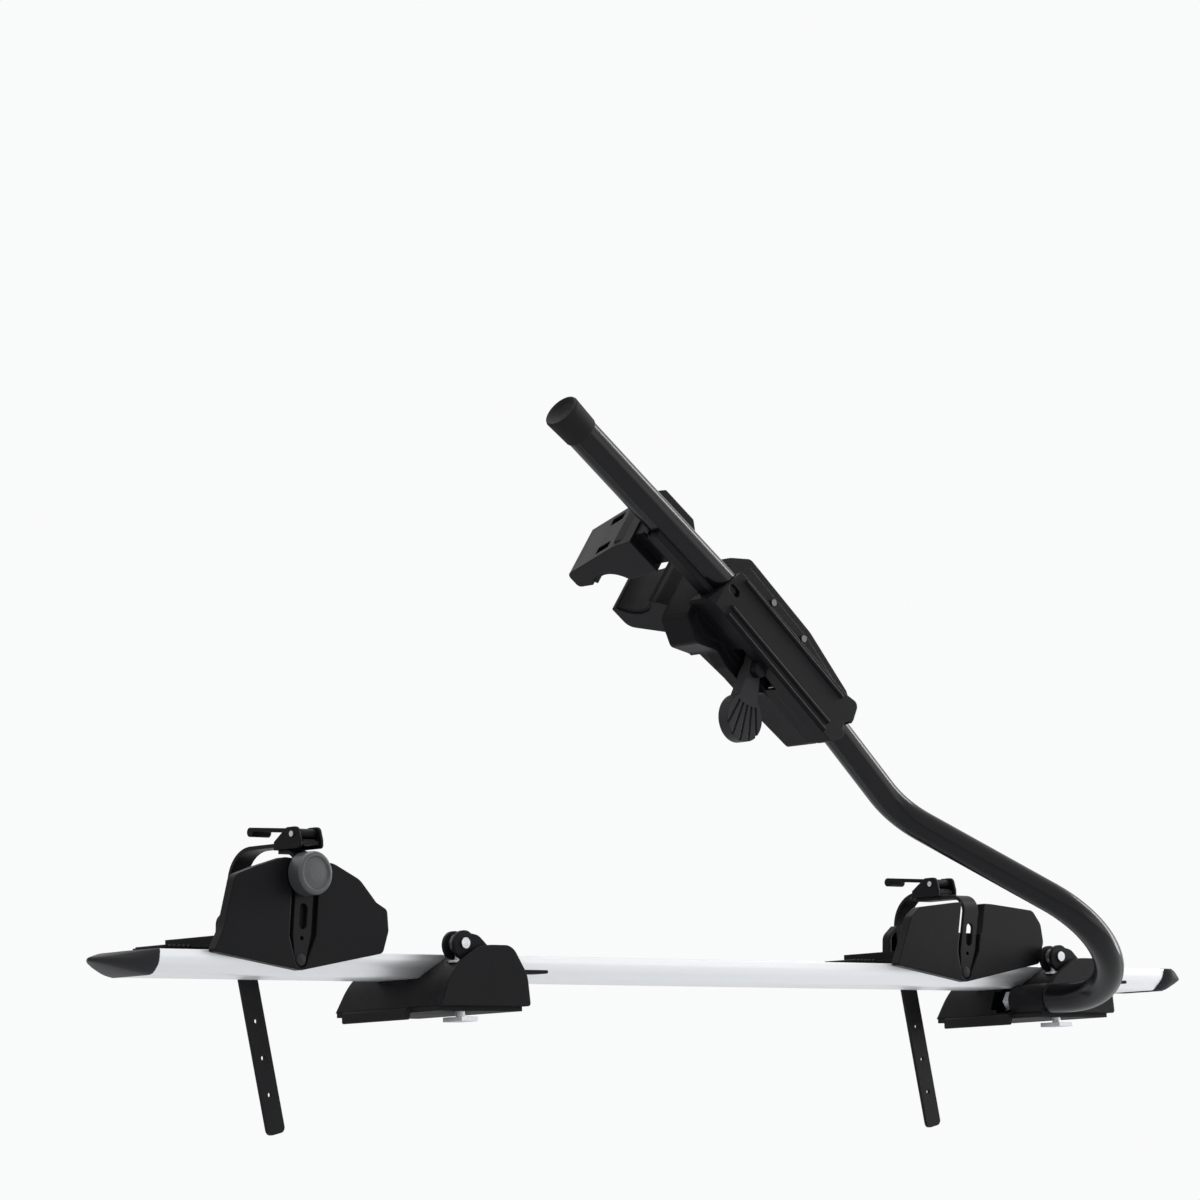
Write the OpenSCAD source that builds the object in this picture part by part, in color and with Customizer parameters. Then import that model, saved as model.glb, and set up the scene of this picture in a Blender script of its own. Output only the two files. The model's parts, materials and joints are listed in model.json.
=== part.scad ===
// Roof bicycle carrier: a channel rail on two quick-clamp brackets, two wheel
// holders with ratchet straps, and a folding arm that grips the frame's down tube.
// X runs forward along the rail, Y to the left, Z up. The origin is on the rear
// bracket's bar seat, on the rail's centre plane. Lengths are millimetres.

/* [Rail] */
// Length of the rail between its end caps
rail_l = 1286; // [1160:1:1500]
// How far the rail reaches behind the rear bracket's bolt
rail_rear = 312; // [305:1:420]
// How far the rail reaches ahead of the front bracket's bolt
rail_front = 200; // [170:1:280]
// Half width of the rail across its top lips
rail_hw = 38; // [36:0.5:39]
// Half width of the rail's flat underside
rail_foot_hw = 27; // [22:0.5:32]
// Height of the rail's underside above the bar seat
rail_z = 29.5; // [29:0.5:34]
// Height of the rail section
rail_h = 20.5; // [18:0.5:24]
// Wall thickness of the rail
rail_t = 2.2; // [1.6:0.1:3]
// Width of the lips that turn in over the channel
rail_lip = 7; // [5:0.5:9]
// Length of an end cap beyond the rail
cap_l = 28; // [20:1:45]
// Half width of an end cap's nose
cap_nose_hw = 5; // [3:0.5:12]

/* [Brackets] */
// Height of the near cheek above the bar seat
cheek_h = 56.5; // [54.5:0.5:58.5]
// How far the near cheek reaches behind the bolt
cheek_rear = 35; // [32:0.5:40]
// How far the near cheek reaches ahead of the bolt
cheek_front = 69; // [64:0.5:74]
// Thickness of the near cheek
cheek_t = 4.5; // [3:0.5:5]
// How far the near cheek's outer face lies from the centre plane
bracket_near = 73; // [73:0.5:80]
// How far the far end reaches from the centre plane
bracket_far = 69; // [60:0.5:80]
// Height of the far wing
far_wing_h = 46; // [36:0.5:50]
// Thickness of the rubber bar pad
pad_t = 4; // [3:0.5:6]
// Depth of the pad's lip over the bar's rear edge
pad_lip = 6; // [4:0.5:10]

/* [Quick clamps] */
// Distance of the clamp bolts from the centre plane
bolt_y = 58; // [57.5:0.25:58.5]
// Radius of the clamp bolt's shank
bolt_r = 4; // [3:0.25:5]
// Radius of the two cam lobes
lobe_r = 12.5; // [11:0.25:13.5]
// Offset of the lobes' centre below the cam pin
lobe_throw = 1.5; // [1:0.1:2]
// Width of the cam lever across both lobes
lever_w = 16; // [15:0.25:16.5]
// Length of the cam lever from its pin to its tip
lever_l = 97; // [80:1:110]
// Radius of the cam pin
cam_pin_r = 3; // [2.5:0.1:3.5]
// Length of the bolt's T-head along the bar's slot
t_head_l = 24; // [20:1:30]
// Width of the bolt's T-head
t_head_w = 19; // [16:0.5:22]
// Depth of the bar's slot above the T-head
slot_depth = 5; // [3:0.5:8]

/* [Wheel holders] */
// Distance of the rear holder's middle behind the rear bolt
rear_holder_back = 160; // [150:1:165]
// Distance of the front holder's middle behind the front bolt
front_holder_back = 106; // [104:1:125]
// Half width of a holder across its walls
holder_hw = 47; // [46:0.25:48]
// Wall thickness of a holder
holder_t = 3.5; // [2.5:0.1:4.5]
// Radius of the tyre that the ribs cradle
tyre_r = 250; // [200:5:380]
// Height of the tyre's lowest point above the bar seat
tyre_z = 57; // [56:0.5:60]
// Width of the tyre between the ribs' horns
tyre_w = 54; // [40:1:60]
// Number of ribs on the slide lock's tongue
tongue_ribs = 6; // [3:1:9]

/* [Straps] */
// Width of the wheel straps
strap_w = 19.5; // [18:0.5:21]
// Thickness of the wheel straps
strap_t = 3.2; // [2.4:0.1:4]
// Radius of the near straps' bend over the rim
strap_bend_r = 14; // [10:0.5:16]
// Height at which the rear strap crosses the rim
rear_strap_z = 134; // [132:1:144]
// Height at which the front strap crosses the rim
front_strap_z = 115; // [113:1:125]
// Length of a strap's loose tail below its stud
tail_l = 146; // [125:1:160]
// Forward lean of the loose tails
tail_lean = 12; // [0:0.5:14]
// Pitch of the ladder strap's teeth
ladder_pitch = 4; // [3:0.25:6]
// Radius of the round cap on the rear strap
badge_r = 18.5; // [14:0.5:20]
// Thickness of the round cap
badge_t = 19; // [10:0.5:20]
// Length of a ratchet lever from its pin
ratchet_l = 58; // [45:1:65]

/* [Arm] */
// Outer radius of the lower arm tube
arm_r = 14; // [12:0.5:15]
// Wall thickness of both arm tubes
arm_wall = 2; // [1.2:0.1:3]
// How far the arm's pivot lies behind the front bolt
pivot_back = 22; // [21:0.5:24]
// Height of the arm's pivot above the bar seat
pivot_z = 17; // [16.5:0.5:18]
// Radius of the steel axle
axle_r = 8; // [6:0.25:9]
// How far the tube's corner stands out from the centre plane
corner_y = 270; // [250:1:290]
// Bend radius where the arm leaves the bracket
arm_bend_r = 94; // [80:1:96]
// Bend radius at the kink below the clamp
kink_r = 90; // [50:1:120]
// How far the kink lies behind the front bolt
kink_back = 245; // [230:1:260]
// Height of the kink above the bar seat
kink_z = 187; // [175:1:200]
// Distance of the upper arm from the centre plane
arm_y = 86; // [84:0.5:90]
// Slope of the arm through the clamp housing
arm_slope = 42; // [38:0.5:46]
// Slope of the sliding upper tube
grip_slope = 36; // [34:0.5:40]

/* [Frame clamp] */
// Distance from the kink to the clamp housing's lower end
housing_s = 110; // [104:1:114]
// Distance from the kink to the clamp housing's upper end
housing_e = 290; // [280:1:300]
// Depth of the housing behind the arm's plane
housing_w = 46; // [40:0.5:48]
// Depth of the near cover in front of the arm's plane
cover_w = 17.5; // [17.5:0.25:22]
// Slope of the clamp housing
case_slope = 39.3; // [38.5:0.1:40]
// Radius of the frame tube that the jaws close on at rest
clamp_r = 25; // [20:0.5:28]
// Distance of the frame tube's centre above the housing
clamp_t = 41; // [38:0.5:46]
// Thickness of the jaws' rubber pads
jaw_pad_t = 4; // [2:0.5:6]
// Half width of the jaws along the frame tube
jaw_hw = 26; // [22:1:30]
// Thickness of the jaws outside their pads
jaw_t = 5; // [4:0.5:8]
// Height of the moving jaw above its pad
jaw_h = 46; // [36:1:54]
// Outer radius of the sliding upper tube
grip_r = 15; // [13:0.5:16]
// Length of the upper tube above the housing
grip_l = 249; // [220:1:280]
// Length of the upper tube inside the housing
grip_in = 75; // [65:1:80]
// Length of the handle's end cap
knob_l = 30; // [24:1:45]
// Flare of the handle's end cap beyond the tube
knob_flare = 2.2; // [1:0.1:5]
// Pitch of the rack's teeth
rack_pitch = 9; // [6:0.5:12]
// Depth of the rack's teeth
rack_depth = 3.5; // [2:0.25:4]
// Radius of the release paddle's fan
paddle_r = 22; // [18:0.5:25]
// Thickness of the release paddle
paddle_t = 12; // [8:0.5:14]
// Number of grooves across the paddle
paddle_grooves = 5; // [3:1:7]

/* [Hidden] */
$fn = 64;

// Clearances between pieces
gap = 0.4;
run_fit = 0.05;

// Colours
silver = [0.80, 0.82, 0.83];
steel = [0.62, 0.63, 0.65];
black = [0.09, 0.09, 0.10];
soft_black = [0.05, 0.05, 0.055];
dark_grey = [0.20, 0.20, 0.21];
badge_grey = [0.30, 0.31, 0.32];

// Heights that follow from the rail
rail_top = rail_z + rail_h;
lip_t = 2.5;
side_h = rail_h * 0.5;
side_draft = 1;
floor_t = 4;
bar_pitch = rail_l - rail_rear - rail_front;
holder_floor = rail_top + gap;
floor_top = holder_floor + floor_t;

// Height of the cam levers' hinge over the cheeks
cam_rise = 1.5;
cam_z = cheek_h + cam_rise;

// Plain vector helpers
function unit(v) = v / norm(v);
function turn_angle(a, b) = acos(unit(a) * unit(b));

// Points of a polygon with each corner rounded to the matching radius
function fillet_point(p, q, a, r, n) =
    let (
        d1 = unit(p - q),
        d2 = unit(a - q),
        half = turn_angle(d1, d2) / 2,
        reach = r / tan(half),
        centre = q + unit(d1 + d2) * r / sin(half),
        s1 = q + d1 * reach - centre,
        s2 = q + d2 * reach - centre,
        a1 = atan2(s1.y, s1.x),
        raw = atan2(s2.y, s2.x) - a1,
        sweep = raw > 180 ? raw - 360 : raw < -180 ? raw + 360 : raw
    )
    [for (i = [0:n]) centre + r * [cos(a1 + sweep * i / n), sin(a1 + sweep * i / n)]];
function rounded(points, radii, n = 6) =
    let (count = len(points))
    [for (i = [0:count - 1])
        let (before = points[(i + count - 1) % count], here = points[i], after = points[(i + 1) % count])
        each (radii[i] > 0 ? fillet_point(before, here, after, radii[i], n) : [here])];

// A convex polygon, listed counter-clockwise, drawn in by a constant distance
function inset(points, d) =
    let (count = len(points))
    [for (i = [0:count - 1])
        let (
            e1 = unit(points[i] - points[(i + count - 1) % count]),
            e2 = unit(points[(i + 1) % count] - points[i]),
            n1 = [-e1.y, e1.x],
            n2 = [-e2.y, e2.x]
        )
        points[i] + d * (n1 + n2) / (1 + n1 * n2)];

// Draws an XZ outline between two Y planes
module slab(y0, y1) {
    translate([0, y1, 0])
        rotate([90, 0, 0])
            linear_extrude(y1 - y0)
                children();
}

// Draws a YZ outline between two X planes
module along_x(x0, x1) {
    translate([x0, 0, 0])
        rotate([90, 0, 90])
            linear_extrude(x1 - x0)
                children();
}

// A cylinder along Y between two Y planes
module rod_y(x, z, r, y0, y1, sides = $fn) {
    translate([x, y0, z])
        rotate([-90, 0, 0])
            cylinder(h = y1 - y0, r = r, $fn = sides);
}

// A cylinder along X between two X planes
module rod_x(y, z, r, x0, x1) {
    translate([x0, y, z])
        rotate([0, 90, 0])
            cylinder(h = x1 - x0, r = r);
}

// Rail

rail_outer = rounded([
    [-rail_foot_hw, 0], [rail_foot_hw, 0], [rail_hw - side_draft, side_h],
    [rail_hw, rail_h], [-rail_hw, rail_h], [-rail_hw + side_draft, side_h]
], [6, 6, 14, 0.8, 0.8, 14], 8);

module rail_channel() {
    inner_h = rail_h - lip_t;
    wall = rail_hw - rail_t;
    polygon([
        [-rail_foot_hw + rail_t / 2, rail_t], [rail_foot_hw - rail_t / 2, rail_t],
        [wall - side_draft, side_h], [wall, inner_h], [-wall, inner_h], [-wall + side_draft, side_h]
    ]);
}

module rail() {
    mouth = rail_hw - rail_lip;
    bead_r = 1.6;
    color(silver)
        difference() {
            translate([0, 0, rail_z])
                along_x(-rail_rear, rail_l - rail_rear) {
                    difference() {
                        polygon(rail_outer);
                        rail_channel();
                        translate([-mouth, rail_h - lip_t - 1])
                            square([2 * mouth, lip_t + 2]);
                    }
                    for (side = [-1, 1])
                        translate([side * (mouth + bead_r), rail_h - lip_t])
                            circle(bead_r);
                }
            for (bolt = [0, bar_pitch], x = screw_x)
                translate([bolt + x, 0, rail_z - 1])
                    cylinder(h = rail_t + 2, r = screw_r + 0.3);
        }
}

module end_cap_plan() {
    drop = rail_hw - cap_nose_hw;
    bow_r = (cap_l * cap_l + drop * drop) / (2 * drop);
    intersection() {
        translate([0, -rail_hw])
            square([cap_l, 2 * rail_hw]);
        translate([0, rail_hw - bow_r])
            circle(bow_r, $fn = 128);
        translate([0, bow_r - rail_hw])
            circle(bow_r, $fn = 128);
    }
}

// Side view of an end cap: the belly rises to the nose and the top droops a little
module end_cap_side() {
    tip = rail_h * 0.62;
    droop = 4;
    top_r = (cap_l * cap_l + droop * droop) / (2 * droop);
    belly_r = (cap_l * cap_l + tip * tip) / (2 * tip);
    intersection() {
        square([cap_l, rail_h]);
        translate([0, rail_h - top_r])
            circle(top_r, $fn = 128);
        translate([0, belly_r])
            circle(belly_r, $fn = 128);
    }
}

// Bow-shaped cap with a plug in the channel; x0 is the rail's end, way its outward side
module end_cap(x0, way) {
    plug_l = 22;
    translate([x0, 0, rail_z])
        mirror([way < 0 ? 1 : 0, 0, 0]) {
            intersection() {
                along_x(0, cap_l)
                    polygon(rail_outer);
                linear_extrude(rail_h)
                    end_cap_plan();
                slab(-rail_hw, rail_hw)
                    end_cap_side();
            }
            along_x(-plug_l, 0)
                polygon(inset([
                    [-rail_foot_hw + rail_t / 2, rail_t], [rail_foot_hw - rail_t / 2, rail_t],
                    [rail_hw - rail_t - side_draft, side_h], [rail_hw - rail_t, rail_h - lip_t - 2],
                    [-rail_hw + rail_t, rail_h - lip_t - 2], [-rail_hw + rail_t + side_draft, side_h]
                ], gap));
        }
}

module rear_end_cap() {
    color(dark_grey)
        end_cap(-rail_rear, -1);
}

module front_end_cap() {
    color(dark_grey)
        end_cap(rail_l - rail_rear, 1);
}

// Brackets

screw_r = 3;
screw_head_r = 6;
screw_head_h = 3;
screw_l = 20;
screw_x = [0, 36];
barrel_in = 2.5;
rail_side = rail_hw + 0.6;
bay_near = bracket_near - cheek_t;
bay_far = bolt_y - lever_w / 2 - 2;
saddle_t = 2;
saddle_r = 11;
saddle_z = cam_z - lobe_r - lobe_throw - gap;
bay_floor = saddle_z - saddle_t;
pivot_x = bar_pitch - pivot_back;
bush_t = 2.5;
bush_r = axle_r + bush_t;
bush_in = 30;
boss_r = bush_r + 4.5;
nut_r = 11;

// Bracket outline as height over distance from the bolt: a steep front and a long round back
cheek_points = [
    [-cheek_rear, pad_t], [cheek_front, pad_t], [cheek_front - 3, cheek_h * 0.55],
    [cheek_front - 20, cheek_h], [15, cheek_h], [-cheek_rear + 13, cheek_h * 0.64]
];
cheek_radii = [2, 3, 26, 16, 40, 50];

// The outline drawn in by a distance, with true arcs at its corners
module cheek_outline(d) {
    drawn_in = inset(cheek_points, d);
    count = len(drawn_in);
    points = [for (i = [0:count - 1]) i < 2 ? [drawn_in[i].x, pad_t] : drawn_in[i]];
    radii = [for (r = cheek_radii) max(r - d, 0.5)];
    polygon(rounded(points, radii, 1));
    for (i = [0:count - 1]) {
        arc = fillet_point(points[(i + count - 1) % count], points[i], points[(i + 1) % count], radii[i], 2);
        centre = arc[1] - unit(arc[1] - (arc[0] + arc[2]) / 2) * radii[i];
        intersection() {
            translate(centre)
                circle(radii[i], $fn = 128);
            polygon([arc[0], points[i], arc[2]]);
        }
    }
}

// Room for the rail, open upwards
module rail_room() {
    reach = 2 * cheek_front;
    along_x(-reach, reach)
        polygon([
            [-rail_foot_hw, rail_z], [rail_foot_hw, rail_z],
            [rail_hw - side_draft + 0.6, rail_z + side_h], [rail_side, rail_top], [rail_side, rail_top + reach],
            [-rail_side, rail_top + reach], [-rail_side, rail_top], [-rail_hw + side_draft - 0.6, rail_z + side_h]
        ]);
}

// Open bay in the near wing for the cam lever
module lever_bay() {
    rear = -lobe_r - lobe_throw - 3;
    high = 2 * cheek_h;
    slab(-bay_near, -bay_far)
        polygon([
            [rear, high], [rear, bay_floor], [saddle_r + 8, bay_floor],
            [saddle_r + 36, bay_floor - 16], [2 * cheek_front, bay_floor - 16], [2 * cheek_front, high]
        ]);
}

// Moulded bracket body about its own clamp bolt
module bracket_body(with_axle) {
    pocket_h = rail_z - pad_t - 5;
    pocket_far = bracket_far - 14;
    end_top = bracket_far - 13;
    difference() {
        union() {
            slab(-bracket_near, -bracket_near + cheek_t)
                cheek_outline(0);
            slab(-bracket_near + cheek_t, bracket_far)
                cheek_outline(barrel_in);
            if (with_axle)
                intersection() {
                    rod_y(-pivot_back, pivot_z, boss_r, -bracket_near, -bush_in);
                    translate([-pivot_back - 2 * boss_r, -2 * bracket_near, pad_t])
                        cube([4 * boss_r, 4 * bracket_near, 4 * boss_r]);
                }
        }
        rail_room();
        lever_bay();
        translate([-2 * cheek_front, rail_side, far_wing_h])
            cube([4 * cheek_front, 2 * bracket_far, 2 * cheek_h]);
        along_x(-2 * cheek_front, 2 * cheek_front)
            polygon([
                [bracket_far, pad_t], [end_top, far_wing_h],
                [end_top, 3 * cheek_h], [3 * bracket_far, 3 * cheek_h], [3 * bracket_far, pad_t]
            ]);
        for (x = [-20, 18])
            translate([x, 8, pad_t - 1])
                cube([34, pocket_far - 8, pocket_h + 1]);
        translate([0, -bolt_y, -1])
            cylinder(h = bay_floor + 2, r = bolt_r + gap);
        for (x = screw_x)
            translate([x, 0, rail_z - screw_l])
                cylinder(h = screw_l + 1, r = screw_r);
        if (with_axle) {
            rod_y(-pivot_back, pivot_z, bush_r, -2 * bracket_near, 0);
            rod_y(-pivot_back, pivot_z, nut_r + 3, -bush_in, -8);
        }
    }
}

// Rubber pad with a short lip that hugs the bar's rear edge
module bar_pad_body() {
    rear = -cheek_rear - 3;
    front = cheek_front - 5;
    lip_far = bracket_far - 16;
    lip_near = 30;
    lip_l = 6.5;
    half_l = bracket_far - 2;
    difference() {
        slab(-half_l, half_l)
            polygon(rounded(
                [[rear, -pad_lip], [rear + 4, -pad_lip], [rear + 6, 0], [front, 0], [front, pad_t], [rear, pad_t]],
                [1.5, 1.5, 0, 0, 0, 2]
            ));
        translate([rear - 1, -half_l - 1, -pad_lip - 1])
            cube([lip_l + 1, half_l - lip_near + 1, pad_lip + pad_t + 2]);
        translate([rear - 1, lip_far, -pad_lip - 1])
            cube([lip_l + 1, half_l - lip_far + 1, pad_lip + pad_t + 2]);
        translate([0, -bolt_y, -1])
            cylinder(h = pad_t + 2, r = bolt_r + 2);
    }
}

module rear_bracket() {
    color(black)
        bracket_body(false);
}

module front_bracket() {
    color(black)
        translate([bar_pitch, 0, 0])
            bracket_body(true);
}

module rear_bar_pad() {
    color(soft_black)
        bar_pad_body();
}

module front_bar_pad() {
    color(soft_black)
        translate([bar_pitch, 0, 0])
            bar_pad_body();
}

module rail_screws() {
    color(steel)
        for (bolt = [0, bar_pitch], x = screw_x)
            translate([bolt + x, 0, rail_z + rail_t]) {
                cylinder(h = screw_head_h, r = screw_head_r);
                translate([0, 0, -rail_t - screw_l + 4])
                    cylinder(h = screw_l + rail_t - 4, r = screw_r);
            }
}

// Quick clamps

eye_w = 2 * bolt_r - 0.4;
eye_r = 8;
eye_slot = 2 * bolt_r + 0.8;

module saddle_body() {
    difference() {
        translate([0, -bolt_y, bay_floor])
            cylinder(h = saddle_t, r = saddle_r - 1.5);
        translate([0, -bolt_y, bay_floor - 1])
            cylinder(h = saddle_t + 2, r = bolt_r + gap);
    }
}

// Bolt with a T-head for the bar's slot, a shank and a flattened eye between the lobes
module t_bolt_body() {
    head_t = 4;
    difference() {
        union() {
            rod_y(0, cam_z, eye_r, -bolt_y - eye_w / 2, -bolt_y + eye_w / 2);
            translate([0, -bolt_y, -slot_depth])
                cylinder(h = cam_z + slot_depth - cam_pin_r - 2, r = bolt_r);
            translate([-t_head_w / 2, -bolt_y - t_head_l / 2, -slot_depth - head_t])
                cube([t_head_w, t_head_l, head_t]);
        }
        rod_y(0, cam_z, cam_pin_r, -2 * bolt_y, 0);
    }
}

module cam_pin_body() {
    head_r = cam_pin_r + 1.8;
    head_t = 1.2;
    half = lever_w / 2 + gap;
    rod_y(0, cam_z, cam_pin_r, -bolt_y - half, -bolt_y + half);
    rod_y(0, cam_z, head_r, -bolt_y - half - head_t, -bolt_y - half);
    rod_y(0, cam_z, head_r, -bolt_y + half, -bolt_y + half + head_t);
}

// Forked lever with two eccentric lobes and a handle that levels off and thins towards its tip
module cam_lever_body() {
    near = -bolt_y - lever_w / 2;
    far = -bolt_y + lever_w / 2;
    tip_t = 3;
    tip_drop = 25;
    difference() {
        union() {
            rod_y(0, cam_z - lobe_throw, lobe_r, near, far);
            translate([0, 0, cam_z])
                slab(near, far)
                    polygon(rounded(
                        [[-2, 10], [16, 7], [34, -8], [lever_l * 0.62, -tip_drop + tip_t], [lever_l, -tip_drop + tip_t],
                            [lever_l, -tip_drop], [lever_l * 0.56, -tip_drop - 1], [26, -15], [lobe_r - 1, -9]],
                        [0, 14, 30, 30, 1.4, 1.4, 20, 20, 0]
                    ));
        }
        translate([-3 * lobe_r, -bolt_y - eye_slot / 2, 0])
            cube([3 * lobe_r + eye_r + 3, eye_slot, 2 * cam_z]);
        rod_y(0, cam_z, cam_pin_r + run_fit, -2 * bolt_y, 0);
    }
}

module rear_cam_saddle() {
    color(steel)
        saddle_body();
}

module rear_t_bolt() {
    color(steel)
        t_bolt_body();
}

module rear_cam_pin() {
    color(steel)
        cam_pin_body();
}

module rear_cam_lever() {
    color(black)
        cam_lever_body();
}

module front_cam_saddle() {
    color(steel)
        translate([bar_pitch, 0, 0])
            saddle_body();
}

module front_t_bolt() {
    color(steel)
        translate([bar_pitch, 0, 0])
            t_bolt_body();
}

module front_cam_pin() {
    color(steel)
        translate([bar_pitch, 0, 0])
            cam_pin_body();
}

module front_cam_lever() {
    color(black)
        translate([bar_pitch, 0, 0])
            cam_lever_body();
}

// Wheel holders

rear_x = -rear_holder_back;
front_x = bar_pitch - front_holder_back;
skirt_z = rail_top - 16.5;
ledge_z = rail_top - 2;
stud_z = rail_top - 7.5;
stud_r = 3.5;
near_dx = -8;
far_dx = 7;
strap_foot_r = 6;
rear_lean = 6;
front_lean = 11;

// Near wall outlines as height above the bar seat over distance from the holder's middle
rear_wall = [
    [-102, ledge_z], [near_dx, skirt_z], [83, ledge_z + 1], [90, 68], [89, 86], [77, 92], [59, 111], [30, 124],
    [-24, 128], [-55, 119.5], [-78, 112], [-91, 68]
];
rear_wall_r = [2, 8, 6, 8, 5, 6, 20, 20, 15, 30, 9, 40];
front_wall = [
    [-103, ledge_z], [near_dx, skirt_z], [97, ledge_z + 4], [104, 73], [101, 90], [90, 103], [31, 108],
    [-14, 109], [-70, 103], [-82, 94], [-93, 70]
];
front_wall_r = [2, 8, 6, 10, 8, 10, 30, 30, 10, 10, 40];
far_wall = [
    [-24, ledge_z], [-14, skirt_z + 2], [30, skirt_z + 2], [76, ledge_z], [82, 70], [66, 90], [-8, 93], [-22, 82]
];
far_wall_r = [2, 6, 6, 6, 10, 12, 10, 10];

// A strap's place along its lane at a given height
function lane_x(dx, lean, z) = dx + (z - stud_z) * tan(lean);

// Outline of a near strap from its rounded foot upwards, grown by a margin and widened above the foot
module near_lane(lean, grow, z1, wide = 0) {
    foot = strap_foot_r + grow;
    half = strap_w / 2 + grow + wide;
    full_z = stud_z + 20;
    translate([near_dx, stud_z])
        circle(foot);
    polygon([
        [near_dx - foot, stud_z], [near_dx + foot, stud_z],
        [lane_x(near_dx, lean, full_z) + half, full_z], [lane_x(near_dx, lean, z1) + half, z1],
        [lane_x(near_dx, lean, z1) - half, z1], [lane_x(near_dx, lean, full_z) - half, full_z]
    ]);
}

// Outline of a far strap between two heights, grown by a margin
module far_lane(lean, grow, z0, z1) {
    half = strap_w / 2 + grow;
    polygon([
        [lane_x(far_dx, lean, z0) - half, z0], [lane_x(far_dx, lean, z0) + half, z0],
        [lane_x(far_dx, lean, z1) + half, z1], [lane_x(far_dx, lean, z1) - half, z1]
    ]);
}

strap_face = holder_hw - 1;
strap_out = strap_face - strap_t / 2;
lane_back = strap_face - strap_t - 0.3;
rim_w = 9;
lane_wide = 4;

// Thin wall with an inward rim all round, as seen from outside
module rimmed_wall(points, radii) {
    rim_t = 3;
    difference() {
        slab(-holder_hw, -holder_hw + rim_w)
            polygon(rounded(points, radii));
        slab(-holder_hw + holder_t, 0)
            polygon(rounded(inset(points, rim_t), [for (r = radii) max(r - rim_t, 0.5)]));
    }
}

// What every wall leaves free: the rail and the strap's stud
module wall_room(dx) {
    long = 500;
    translate([-long / 2, -rail_hw - gap, 0])
        cube([long, 2 * rail_hw, holder_floor]);
    rod_y(dx, stud_z, stud_r, -2 * holder_hw, 0);
}

// Near wall in two panels with a strap lane between rolled lips
module near_wall(points, radii, lean, back_top) {
    high = 2 * rail_top + 100;
    lip = 3;
    difference() {
        union() {
            rimmed_wall(points, radii);
            slab(-holder_hw, -holder_hw + rim_w)
                intersection() {
                    polygon(rounded(points, radii));
                    near_lane(lean, lip + 1, high, lane_wide);
                }
        }
        slab(-2 * holder_hw, 0)
            intersection() {
                near_lane(lean, 2.5, high, lane_wide);
                translate([-high, back_top])
                    square(2 * high);
            }
        wall_room(near_dx);
    }
}

// Low far wall with a straight strap lane
module far_side(lean) {
    high = 2 * rail_top + 100;
    lip = 3;
    mirror([0, 1, 0])
        difference() {
            union() {
                rimmed_wall(far_wall, far_wall_r);
                slab(-holder_hw, -holder_hw + rim_w)
                    intersection() {
                        polygon(rounded(far_wall, far_wall_r));
                        far_lane(lean, 3 + lip, 0, high);
                    }
            }
            wall_room(far_dx);
        }
}

// Floor, ribbed tongue and tyre ribs of one holder
module holder_tray(points) {
    rear = points[0].x + 6;
    front = points[2].x - 6;
    tongue_l = 38;
    tongue_hw = 20;
    rib_t = 4;
    rib_pitch = 5;
    horn = 9;
    side = holder_hw - holder_t + 0.5;
    difference() {
        translate([rear, -side, holder_floor])
            cube([front - rear, 2 * side, floor_t]);
        for (dx = shoe_screw_dx)
            translate([dx, 0, holder_floor - 1])
                cylinder(h = floor_t + 2, r = screw_r + 0.2);
    }
    translate([rear - tongue_l, -tongue_hw, holder_floor])
        cube([tongue_l + 1, 2 * tongue_hw, floor_t - 1]);
    for (i = [0:tongue_ribs - 1])
        rod_x_across(rear - tongue_l + 4 + i * rib_pitch, floor_top - 1, tongue_hw);
    difference() {
        for (dx = [-78, -46, 46, 78])
            translate([dx - rib_t / 2, -side, floor_top - 0.5])
                cube([rib_t, 2 * side, horn]);
        rod_y(0, tyre_z + tyre_r, tyre_r, -tyre_w / 2, tyre_w / 2, 256);
    }
}

// One rounded rib across the tongue
module rod_x_across(x, z, half) {
    rib_r = 1.4;
    rod_y(x, z, rib_r, -half, half, 24);
}

shoe_screw_dx = [-24, 24];

module cradle_body(points, radii, lean, strap_z, back_top) {
    high = 2 * rail_top + 100;
    away = far_lean(lean, strap_z);
    difference() {
        union() {
            holder_tray(points);
            near_wall(points, radii, lean, back_top);
            far_side(away);
        }
        slab(-2 * holder_hw, -lane_back)
            near_lane(lean, 1, high, lane_wide);
        slab(lane_back, 2 * holder_hw)
            far_lane(away, 3, 0, high);
    }
}

// Block in the rail's channel that holds the wheel holder under the lips
module shoe_body() {
    mouth = rail_hw - rail_lip - 1;
    wide = rail_hw - rail_t - side_draft - gap;
    under = rail_top - lip_t - 1.6 - gap;
    shoe_l = 90;
    shoe_h = 6;
    difference() {
        union() {
            translate([-shoe_l / 2, -wide, under - shoe_h])
                cube([shoe_l, 2 * wide, shoe_h]);
            translate([-shoe_l / 2 + 4, -mouth, under - 1])
                cube([shoe_l - 8, 2 * mouth, holder_floor - under + 1]);
        }
        for (dx = shoe_screw_dx)
            translate([dx, 0, 0])
                cylinder(h = 2 * rail_top, r = screw_r);
    }
}

module shoe_screws_body() {
    head_h = 2.5;
    for (dx = shoe_screw_dx)
        translate([dx, 0, floor_top]) {
            cylinder(h = head_h, r = screw_head_r);
            translate([0, 0, -14])
                cylinder(h = 14, r = screw_r);
        }
}

// Straps

// Where a near strap meets its buckle, and the lean that brings the far strap there
function buckle_dx(lean, top_z) = lane_x(near_dx, lean, top_z - strap_bend_r);
function far_lean(lean, top_z) = atan2(buckle_dx(lean, top_z) - far_dx, top_z + ladder_rise - far_bend_r - stud_z);

far_bend_r = 30;
ladder_rise = 6;

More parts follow.
